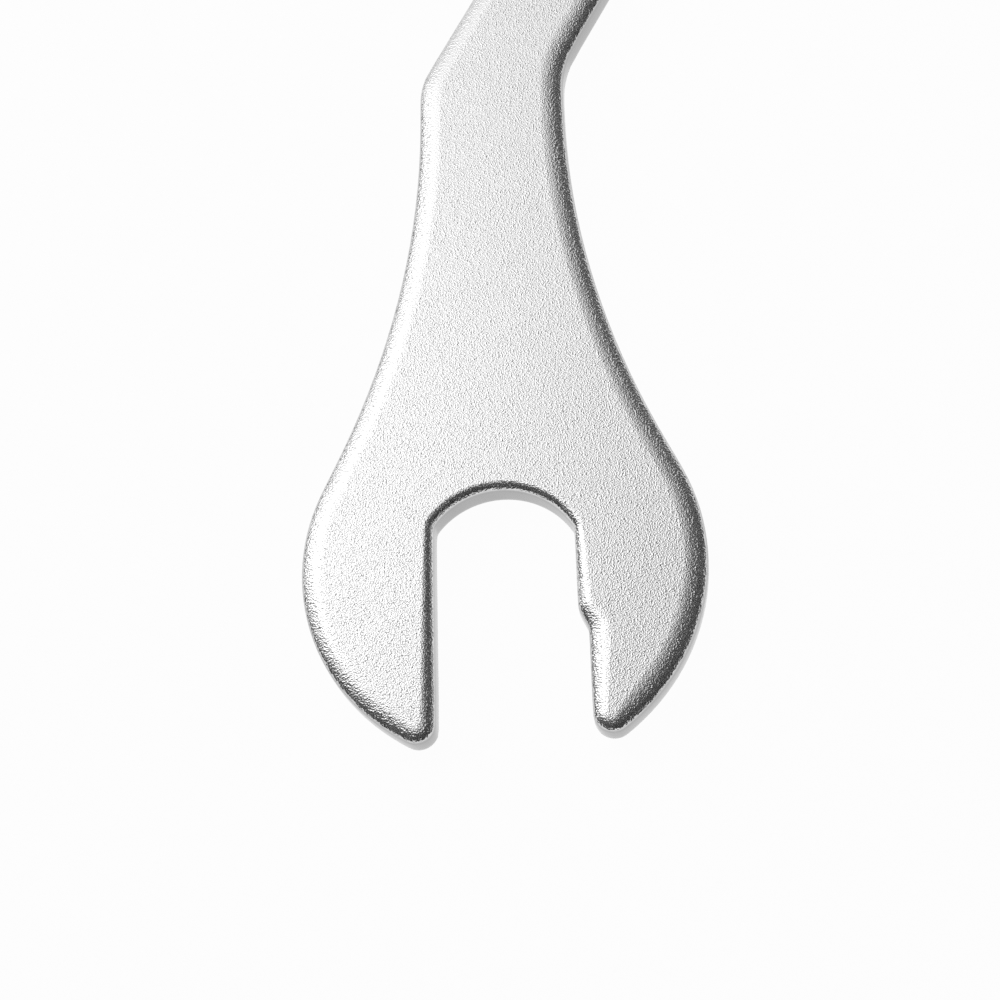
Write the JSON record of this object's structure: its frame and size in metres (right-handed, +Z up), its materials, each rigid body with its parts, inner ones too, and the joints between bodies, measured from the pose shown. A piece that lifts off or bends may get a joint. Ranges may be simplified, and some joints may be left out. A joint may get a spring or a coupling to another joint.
{
  "type": "lockring spanner",
  "caption": "Flat one-piece lockring spanner: a toothed hook for notched lockrings at one end and an angled open jaw with stepped flats at the other.",
  "frame": {"origin": "under the middle of the spanner's box, on the surface that it lies on", "axes": "+Z up through the plate, +Y along the tool from the open jaw to the hook, so the jaw opens towards -Y"},
  "size_m": [0.0788, 0.2084, 0.004],
  "materials": {
    "blasted_plate": "bead-blasted satin plating, fine sparkling grain"
  },
  "bodies": {
    "root": {"spanner_body": "blasted_plate"}
  },
  "joints": []
}
